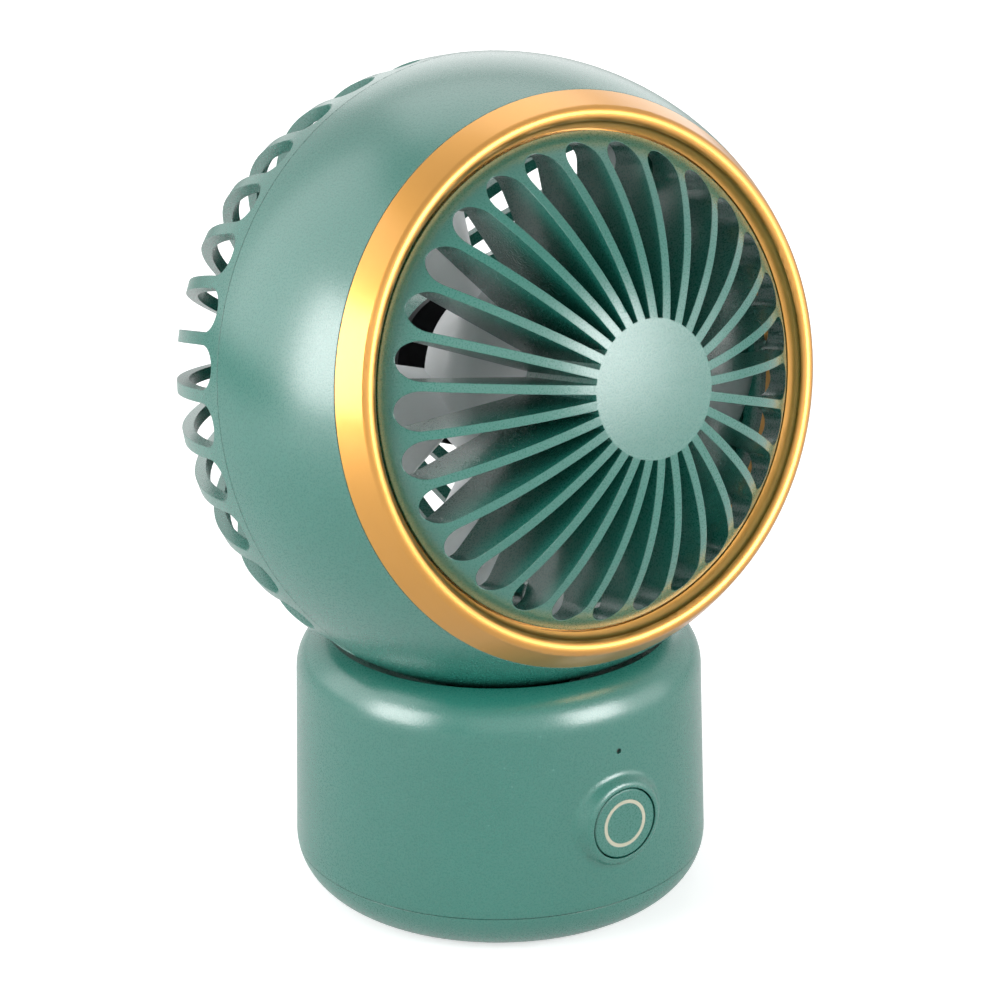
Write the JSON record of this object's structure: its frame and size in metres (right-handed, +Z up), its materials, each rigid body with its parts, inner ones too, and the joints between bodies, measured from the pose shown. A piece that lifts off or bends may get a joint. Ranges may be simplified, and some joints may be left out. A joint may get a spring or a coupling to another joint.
{
  "type": "desk_fan",
  "caption": "Small rechargeable desk fan: a ball-shaped head with a domed radial grille and a gold trim ring tilts in the dished top of a round base with a push button.",
  "frame": {"origin": "centre of the rubber pad's underside, on the table", "axes": "+Z up, front of the fan along -Y, +X to the right seen from the front"},
  "size_m": [0.115, 0.1073, 0.1573],
  "materials": {
    "green_plastic": "satin, fine mould grain",
    "gold_trim": "satin gold plating",
    "white_plastic": "smooth",
    "cream_print": "matt",
    "plated_steel": "zinc plated",
    "bronze": "plain",
    "dark_ferrite": "matt",
    "black_plastic": "matt",
    "black_rubber": "matt",
    "cell_wrap": "shrink wrap",
    "board_green": "solder mask",
    "smoke_clear": "smoke clear"
  },
  "bodies": {
    "base": {"base_shell": "green_plastic", "base_cover": "green_plastic", "ballast_plate": "plated_steel", "charge_socket": "plated_steel", "base_screws": "plated_steel", "board_screws": "plated_steel", "push_switch": "black_plastic", "rubber_pad": "black_rubber", "battery_cell": "cell_wrap", "switch_board": "board_green", "charge_board": "board_green", "pilot_led": "smoke_clear", "light_pipe": "smoke_clear"},
    "head": {"head_shell": "green_plastic", "trim_ring": "gold_trim", "ring_screws": "plated_steel", "front_grille": "green_plastic", "rear_grille": "green_plastic", "motor_can": "plated_steel", "motor_endcap": "black_plastic", "motor_bushings": "bronze", "motor_magnets": "dark_ferrite", "motor_retainer": "plated_steel", "retainer_screws": "plated_steel", "tilt_stud": "plated_steel", "tilt_shoe": "black_plastic", "tilt_washer": "plated_steel", "tilt_nut": "plated_steel"},
    "rotor": {"impeller": "white_plastic", "motor_shaft": "plated_steel", "rotor_core": "plated_steel", "commutator": "bronze"},
    "button": {"power_button": "green_plastic", "button_mark": "cream_print", "switch_plunger": "black_plastic"}
  },
  "joints": [
    {"name": "head_tilt", "type": "hinge", "parent": "base", "child": "head", "pos_m": [0, 0, 0.0998], "axis": [-1, 0, 0], "range_deg": [-10, 15]},
    {"name": "fan_spin", "type": "hinge", "parent": "head", "child": "rotor", "pos_m": [0, 0, 0.0998], "axis": [0, -0.9848, 0.1736], "continuous": true},
    {"name": "power_button", "type": "slide", "parent": "base", "child": "button", "axis": [0, 1, 0], "range_m": [0, 0.0006], "stiffness_N_per_m": 800}
  ]
}
